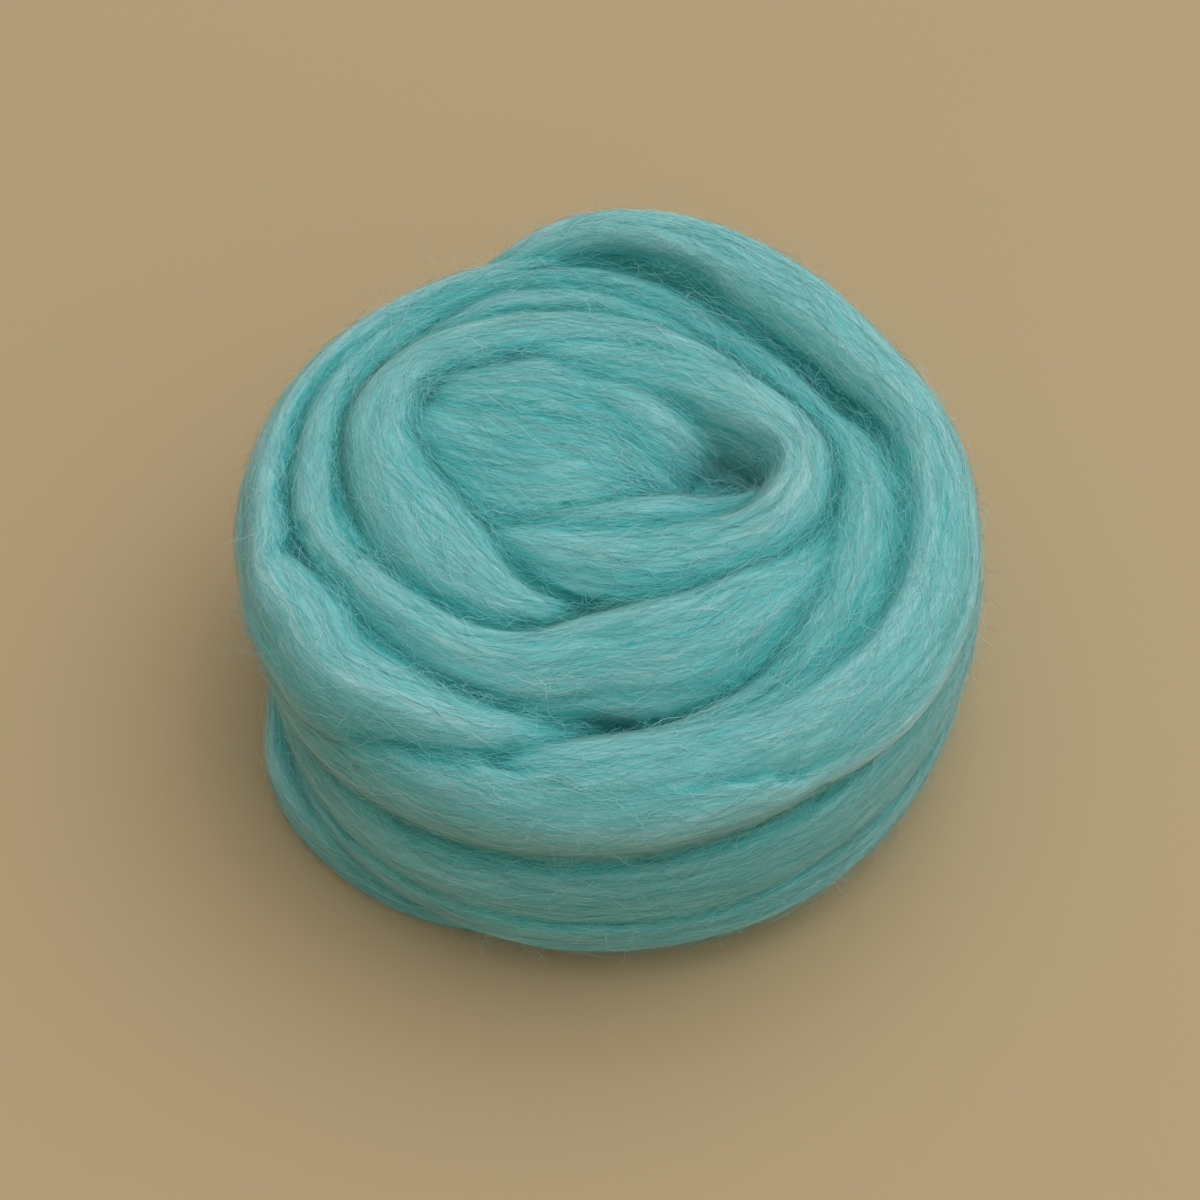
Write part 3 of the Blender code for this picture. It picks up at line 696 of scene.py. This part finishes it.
def averaged(values, edges, rounds):
    """Each column of values mixed, round by round, with the mean of the neighbours."""
    total = len(values)
    neighbours = np.maximum(np.bincount(edges.ravel(), minlength=total), 1)
    values = values.copy()
    for _ in range(rounds):
        for column in range(values.shape[1]):
            mean = neighbour_sum(values[:, column], edges, total) / neighbours
            values[:, column] = (values[:, column] + mean) / 2
    return values


def averaged_lines(lines, edges, rounds):
    """Directions mixed with their neighbours', where a direction and its opposite are alike."""
    total = len(lines)
    start, end = edges.T
    for _ in range(rounds):
        alike = np.sign(dot(lines[start], lines[end]))
        mixed = lines * 2
        for column in range(3):
            mixed[:, column] += (np.bincount(start, alike * lines[end, column], total)
                                 + np.bincount(end, alike * lines[start, column], total))
        lines = unit(mixed)
    return lines


def point_normals(points, faces):
    """The skin's normal at each point."""
    corner = points[faces]
    face_normal = np.cross(corner[:, 1] - corner[:, 0], corner[:, 2] - corner[:, 0])
    total = np.zeros_like(points)
    for column in range(3):
        for side in range(3):
            total[:, column] += np.bincount(faces[:, side], face_normal[:, column], len(points))
    return unit(total)


def soft_noise(places, pitch, run, seed):
    """Smooth noise from -1 to 1 that is short across a turn and long along it."""
    values = np.empty(len(places))
    for index, (around, along, number) in enumerate(places.tolist()):
        values[index] = noise((around / pitch, along / run, number * STRAND_SEED + seed))
    return values


def lobe_height(places, lobes):
    """Rise of rounded lobes with narrow grooves between them."""
    level = soft_noise(places, lobes.pitch, lobes.run, lobes.seed)
    return lobes.height * (np.sqrt(level ** 2 + GROOVE_ROUNDING) - LOBE_MEAN)


def above_foot(points, foot):
    """0 on the foot, 1 above it, and between them on the change over it."""
    return np.clip((points[:, 2] - foot[0]) / foot[1], 0, 1)


def deep_shade(points):
    """The strongest painted shade of the table at each point; painted light counts below zero."""
    total = np.zeros(len(points))
    for shade in SHADES:
        away = np.linalg.norm(points - np.array((shade.x, shade.y, shade.z)), axis=1)
        here = shade.amount * np.exp(-(away / shade.size) ** 2)
        total = np.where(np.abs(here) > np.abs(total), here, total)
    return total


def skin_shade(points, normals, edges):
    """The painted shade of each point, from its depth in a crease, its height and the table; below
    zero a painted highlight on a crest.
    """
    wide = averaged(points, edges, WIDE_ROUNDS)
    near = averaged(points, edges, NEAR_ROUNDS)
    painted_shading = dot(wide - points, normals) / HOLLOW_DEPTH
    cleft = dot(near - points, normals) / CLEFT_DEPTH
    foot = above_foot(points, SHADE_FOOT)
    painted_shading = np.where(painted_shading < 0, painted_shading * foot, painted_shading) + FOOT_SHADE * (1 - foot)
    shade = np.clip(painted_shading, CREST_SHADE, 1) + CLEFT_SHADE * np.clip(cleft, 0, 1) * foot
    return shade + deep_shade(points) * np.clip(painted_shading + cleft, 0, 1)


class Skin:
    """The fused skin with its ridges, and for each point the way the wool runs and its painted
    shading.
    """

    def __init__(self, winding):
        points, faces = fused_skin(winding)
        edges = mesh_edges(faces)
        number, place, run = winding.locate(points)
        places = np.column_stack([place, number])
        height = sum(lobe_height(places, lobes) for lobes in LOBES)
        height *= above_foot(points, LOBE_FOOT)
        points = points + point_normals(points, faces) * averaged(height[:, None], edges, 1)
        points[:, 2] = np.maximum(points[:, 2], 0)
        normals = point_normals(points, faces)
        run = averaged_lines(run, edges, RUN_ROUNDS)
        self.points = points
        self.faces = faces
        self.normals = normals
        self.number = number
        self.place = place
        self.run = unit(run - normals * dot(run, normals)[:, None])
        self.painted_shading = skin_shade(points, normals, edges)
        self.tree = BVHTree.FromPolygons(points.tolist(), faces.tolist())

    def corner_places(self, winding):
        """Distance around and along for every face corner, in the terms of one strand a face."""
        corner_number = self.number[self.faces]
        face_number = np.median(corner_number, axis=1).astype(int)
        places = np.empty(self.faces.shape + (3,))
        places[..., :2] = self.place[self.faces]
        places[..., 2] = face_number[:, None]
        odd = corner_number != face_number[:, None]
        for number in np.unique(face_number[odd.any(axis=1)]):
            chosen = odd & (face_number == number)[:, None]
            corners = self.faces[chosen]
            _, place, _ = winding.locate(self.points[corners], winding.strand_tree(number), number)
            places[chosen, :2] = place
        return places


def seed_points(skin, count, dice):
    """Points spread evenly over the skin, but for its underside, and their faces."""
    corner = skin.points[skin.faces]
    face_normal = np.cross(corner[:, 1] - corner[:, 0], corner[:, 2] - corner[:, 0])
    area = np.linalg.norm(face_normal, axis=1)
    area[corner[:, :, 2].max(axis=1) < SEED_HEIGHT] = 0
    chosen = dice.choice(len(area), size=count, p=area / area.sum())
    weights = dice.dirichlet((1, 1, 1), size=count)
    return np.einsum("ij,ijk->ik", weights, corner[chosen]), chosen


def walk(skin, fibres, dice):
    """Paths over the skin along the wool: points, normals, ways and painted shade of each fibre.
    """
    spots, faces = seed_points(skin, fibres.count, dice)
    step = fibres.length * dice.uniform(*LENGTH_SPREAD, fibres.count)[:, None] / fibres.segments
    turn_off = np.radians(dice.normal(0, fibres.stray, fibres.count))
    sway = np.radians(dice.normal(0, fibres.stray, (2, fibres.count)))
    phase = dice.uniform(0, 2 * pi, (2, fibres.count))
    way = None
    stops = []
    for number in range(fibres.segments + 1):
        corner = skin.faces[faces]
        near = 1 / (np.linalg.norm(skin.points[corner] - spots[:, None], axis=2) + 1e-5)
        near = near / near.sum(axis=1, keepdims=True)
        normal = unit(np.einsum("ij,ijk->ik", near, skin.normals[corner]))
        run = skin.run[corner[:, 0]]
        if way is None:
            way = run * dice.choice((-1, 1), fibres.count)[:, None]
        run = run * np.sign(dot(run, way))[:, None]
        side = np.cross(normal, run)
        part = number / fibres.segments
        angle = (turn_off + sway[0] * np.sin(phase[0] + SLOW_SWAY * part)
                 + sway[1] * np.sin(phase[1] + QUICK_SWAY * part) / 2)
        way = unit(run * np.cos(angle)[:, None] + side * np.sin(angle)[:, None])
        stops.append((spots, normal, way, dot(near, skin.painted_shading[corner])))
        if number < fibres.segments:
            spots, faces = nearest_faces(skin.tree, spots + way * step)
    return [np.stack(values, 1) for values in zip(*stops)]


def lock_waves(path):
    """Side shifts that neighbouring fibres share, so that they lie in loose wavy locks."""
    points = path.reshape(-1, 3).tolist()
    shifts = np.array([LOCK_SWING * noise(Vector(point) / LOCK_SIZE) for point in points])
    return shifts.reshape(path.shape[:2])


def bridging(path, normals):
    """How far each path must rise to pass over dips that are shorter than a fibre."""
    eased = path.copy()
    for _ in range(BRIDGE_ROUNDS):
        eased[:, 1:-1] = (eased[:, :-2] + eased[:, 2:]) / 2
    return np.clip(np.einsum("ijk,ijk->ij", eased - path, normals), 0, BRIDGE_LIMIT)


def fibre_lines(skin, fibres, dice):
    """Middle lines of the fibres, lifted off the skin and waved, with normals and painted shade.
    """
    path, normals, ways, painted_shading = walk(skin, fibres, dice)
    count = fibres.count
    part = np.linspace(0, 1, fibres.segments + 1)[None, :]
    arch = np.sin(pi * part)
    lift = np.minimum(np.abs(dice.normal(0, 1, count)), LIFT_LIMIT)[:, None] * fibres.lift
    lift = lift + LEAST_LIFT
    ripple = np.sin(part * RIPPLE_RUN + dice.uniform(0, RIPPLE_STARTS, count)[:, None])
    bow = arch ** BOW_POWER * (1 + RIPPLE * ripple)
    tip = np.where(dice.uniform(0, 1, count) < TIP_SHARE, 1.0, 0.0)[:, None]
    height = lift * (bow + tip * part ** 3 * TIP_LIFT) - END_SINK * (1 - arch)
    height = height + fibres.bridge * bridging(path, normals)
    length = fibres.length * part
    phase = dice.uniform(0, 2 * pi, count)[:, None]
    period = CRIMP_PERIOD * dice.uniform(*PERIOD_SPREAD, count)[:, None]
    bunching = BUNCHING * np.sin(part * BUNCHING_RUN + phase)
    swing = fibres.crimp * np.sin(2 * pi * length / period + phase + bunching)
    swing = swing + lock_waves(path)
    sides = np.cross(normals, ways)
    lines = path + normals * height[..., None] + sides * swing[..., None]
    lines[..., 2] = np.maximum(lines[..., 2], LINE_FLOOR)
    return lines, normals, painted_shading * (1 - np.clip(height / CLEAR_LIFT, 0, CLEAR_LIMIT))


def add_values(made, name, values):
    """One number a point, for the material to read."""
    attribute = made.data.attributes.new(name, 'FLOAT', 'POINT')
    attribute.data.foreach_set("value", np.asarray(values, np.float32))


def add_fibres(skin, fibres, material):
    """One joined mesh of flat ribbons, a tapered one for each fibre."""
    dice = np.random.default_rng(fibres.seed)
    lines, normals, painted_shading = fibre_lines(skin, fibres, dice)
    ahead = np.empty_like(lines)
    ahead[:, 1:-1] = lines[:, 2:] - lines[:, :-2]
    ahead[:, 0] = lines[:, 1] - lines[:, 0]
    ahead[:, -1] = lines[:, -1] - lines[:, -2]
    sides = unit(np.cross(normals, unit(ahead)))
    roll = np.radians(dice.normal(0, ROLL_SPREAD, fibres.count))[:, None, None]
    sides = sides * np.cos(roll) + normals * np.sin(roll)
    part = np.linspace(0, 1, fibres.segments + 1)
    taper = (TIP_WIDTH + (1 - TIP_WIDTH) * np.sin(pi * part) ** 0.5)[None, :, None]
    width = fibres.width * dice.uniform(*WIDTH_SPREAD, fibres.count)[:, None, None]
    half = sides * width * taper / 2
    points = np.stack([lines - half, lines + half], axis=2).reshape(-1, 3)
    points[:, 2] = np.maximum(points[:, 2], RIBBON_FLOOR)
    rows = fibres.segments + 1
    start = (np.arange(fibres.count)[:, None] * rows + np.arange(fibres.segments)[None, :]) * 2
    quads = np.stack([start, start + 1, start + 3, start + 2], axis=-1).reshape(-1, 4)
    made = new_object(fibres.name, points, quads)
    # each fibre's lightness spreads at random about its set's, which is painted lighter the higher
    # the set lies
    tints = dice.normal(fibres.tint, TINT_SPREAD, fibres.count)
    add_values(made, "tint", np.repeat(tints, rows * 2))
    add_values(made, "painted_shading", np.repeat(painted_shading.ravel(), 2))
    made.data.materials.append(material)
    return made


def add_skin(skin, winding, material):
    """The fused skin as an object, with what its material reads."""
    made = new_object("roving_skin", skin.points, skin.faces)
    place = made.data.attributes.new("place", 'FLOAT_VECTOR', 'CORNER')
    place.data.foreach_set("vector", skin.corner_places(winding).astype(np.float32).ravel())
    add_values(made, "painted_shading", skin.painted_shading)
    made.data.materials.append(material)
    return made


def link(tree, start, end):
    tree.links.new(start, end)


def set_inputs(node, values):
    """Constants for the named sockets of a node."""
    for name, value in values.items():
        node.inputs[name].default_value = value


def new_material(name):
    material = bpy.data.materials.new(name)
    material.use_nodes = True
    shader = material.node_tree.nodes["Principled BSDF"]
    return material, material.node_tree, shader


def ramp_node(tree, value, stops):
    """The colour that a value takes between the stops of a ramp."""
    ramp = tree.nodes.new("ShaderNodeValToRGB")
    while len(ramp.color_ramp.elements) < len(stops):
        ramp.color_ramp.elements.new(0.5)
    for element, (place, color) in zip(ramp.color_ramp.elements, stops):
        element.position = place
        element.color = color
    link(tree, value, ramp.inputs[0])
    return ramp.outputs["Color"]


def math_node(tree, operation, first, second=None, third=None):
    """The result of one operation on sockets or numbers."""
    node = tree.nodes.new("ShaderNodeMath")
    node.operation = operation
    for socket, value in zip(node.inputs, (first, second, third)):
        if value is None:
            continue
        if isinstance(value, (int, float)):
            socket.default_value = value
        else:
            link(tree, value, socket)
    return node.outputs[0]


def attribute_node(tree, name):
    node = tree.nodes.new("ShaderNodeAttribute")
    node.attribute_name = name
    return node


def streak_noise(tree, across, along, number, streak):
    """Noise drawn out along the wool, at a place across and along a numbered strand."""
    place = tree.nodes.new("ShaderNodeCombineXYZ")
    link(tree, math_node(tree, 'DIVIDE', across, streak.width), place.inputs[0])
    link(tree, math_node(tree, 'DIVIDE', along, streak.run), place.inputs[1])
    link(tree, math_node(tree, 'MULTIPLY', number, STREAK_SEED), place.inputs[2])
    texture = tree.nodes.new("ShaderNodeTexNoise")
    set_inputs(texture, {"Scale": 1.0, "Detail": streak.detail, "Roughness": STREAK_ROUGHNESS})
    link(tree, place.outputs[0], texture.inputs["Vector"])
    return texture.outputs["Fac"]


def thin_lines(tree, value):
    """Thin bright lines where the noise crosses its middle."""
    away = math_node(tree, 'ABSOLUTE', math_node(tree, 'SUBTRACT', value, 0.5))
    line = math_node(tree, 'MULTIPLY_ADD', away, -THREAD_SHARPNESS, 1.0)
    return math_node(tree, 'MAXIMUM', line, 0.0)


def skin_material():
    """Wool with wavy streaks and thin threads that run along it, with painted shade in the creases
    and painted highlight on the crests.
    """
    material, tree, shader = new_material("wool_skin")
    parts = tree.nodes.new("ShaderNodeSeparateXYZ")
    link(tree, attribute_node(tree, "place").outputs["Vector"], parts.inputs[0])
    around, along, number = parts.outputs
    drift = streak_noise(tree, around, along, number, DRIFT)
    phase = math_node(tree, 'MULTIPLY_ADD', drift, DRIFT_PHASE,
                      math_node(tree, 'MULTIPLY', along, 2 * pi / CRIMP_PERIOD))
    wave = math_node(tree, 'MULTIPLY', math_node(tree, 'SINE', phase), STREAK_CRIMP)
    across = math_node(tree, 'ADD', math_node(tree, 'ADD', around, wave),
                       math_node(tree, 'MULTIPLY', drift, DRIFT_SHIFT))
    thread = thin_lines(tree, streak_noise(tree, across, along, number, THREAD))
    fine = streak_noise(tree, across, along, number, FINE)
    middle = streak_noise(tree, across, along, number, MIDDLE)
    broad = streak_noise(tree, across, along, number, BROAD)
    mixed = math_node(tree, 'MULTIPLY_ADD', broad, BROAD_WEIGHT, WEIGHT_SHIFT)
    mixed = math_node(tree, 'MULTIPLY_ADD', middle, MIDDLE_WEIGHT, mixed)
    mixed = math_node(tree, 'MULTIPLY_ADD', fine, FINE_WEIGHT, mixed)
    mixed = math_node(tree, 'MULTIPLY_ADD', thread, THREAD_WEIGHT, mixed)
    # painted shading: darker in the creases and at the foot, lighter on the crests
    shade = attribute_node(tree, "painted_shading").outputs["Fac"]
    level = math_node(tree, 'MULTIPLY_ADD', shade, SKIN_SHADING, mixed)
    link(tree, ramp_node(tree, level, SKIN_COLORS), shader.inputs["Base Color"])
    bump = tree.nodes.new("ShaderNodeBump")
    set_inputs(bump, BUMP)
    link(tree, mixed, bump.inputs["Height"])
    link(tree, bump.outputs["Normal"], shader.inputs["Normal"])
    set_inputs(shader, SKIN_GLOSS)
    return material


def fibre_material():
    """Wool in one lightness a fibre, with painted shade in the creases and painted highlight on
    the crests.
    """
    material, tree, shader = new_material("wool_fibre")
    shade = attribute_node(tree, "painted_shading").outputs["Fac"]
    tint = attribute_node(tree, "tint").outputs["Fac"]
    level = math_node(tree, 'MULTIPLY_ADD', shade, FIBRE_SHADING, tint)
    link(tree, ramp_node(tree, level, FIBRE_COLORS), shader.inputs["Base Color"])
    set_inputs(shader, FIBRE_GLOSS)
    return material


def add_floor():
    """The flat pale floor that the coil rests on."""
    reach = FLOOR_REACH
    corners = [(-reach, -reach, 0), (reach, -reach, 0), (reach, reach, 0), (-reach, reach, 0)]
    floor = new_object("floor", corners, [(0, 1, 2, 3)])
    material, tree, shader = new_material("pale_floor")
    texture = tree.nodes.new("ShaderNodeTexNoise")
    texture.inputs["Scale"].default_value = FLOOR_GRAIN
    color = ramp_node(tree, texture.outputs["Fac"], FLOOR_COLORS)
    link(tree, color, shader.inputs["Base Color"])
    set_inputs(shader, FLOOR_GLOSS)
    floor.data.materials.append(material)


def aim(made, place, target):
    """Puts a light or camera at a place, and turns it towards a target."""
    made.location = place
    made.rotation_euler = (Vector(target) - Vector(place)).to_track_quat('-Z', 'Y').to_euler()


def add_window():
    """One broad light, high over the back right, as from a window."""
    light = bpy.data.lights.new("window", 'AREA')
    light.shape = 'DISK'
    light.size = WINDOW_SIZE
    light.energy = WINDOW_POWER
    light.color = WINDOW_COLOR
    aim(link_object("window", light), WINDOW_PLACE, WINDOW_TARGET)


def add_sky():
    """Soft light from above that fades and warms towards the horizon, most on the left."""
    world = bpy.data.worlds.new("studio")
    world.use_nodes = True
    tree = world.node_tree
    place = tree.nodes.new("ShaderNodeTexCoord")
    rise = tree.nodes.new("ShaderNodeVectorMath")
    rise.operation = 'DOT_PRODUCT'
    rise.inputs[1].default_value = SKY_SLOPE
    link(tree, place.outputs["Generated"], rise.inputs[0])
    background = tree.nodes["Background"]
    color = ramp_node(tree, rise.outputs["Value"], SKY_COLORS)
    link(tree, color, background.inputs["Color"])
    background.inputs["Strength"].default_value = SKY_STRENGTH
    bpy.context.scene.world = world


def add_camera():
    """The camera, looking down at the coil as in the photo."""
    camera = bpy.data.cameras.new("camera")
    camera.lens = CAMERA_LENS
    camera.sensor_width = CAMERA_SENSOR
    camera.clip_start = CAMERA_NEAR
    made = link_object("camera", camera)
    aim(made, CAMERA_PLACE, CAMERA_TARGET)
    bpy.context.scene.camera = made


def main():
    winding = Winding(STRANDS)
    skin = Skin(winding)
    piece = add_skin(skin, winding, skin_material())
    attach(piece, "root")
    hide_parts("roving")
    material = fibre_material()
    for fibres in FIBRE_SETS:
        made = add_fibres(skin, fibres, material)
        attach(made, "root")
    add_floor()
    add_window()
    add_sky()
    add_camera()
    bpy.context.scene.view_settings.view_transform = 'Standard'


main()
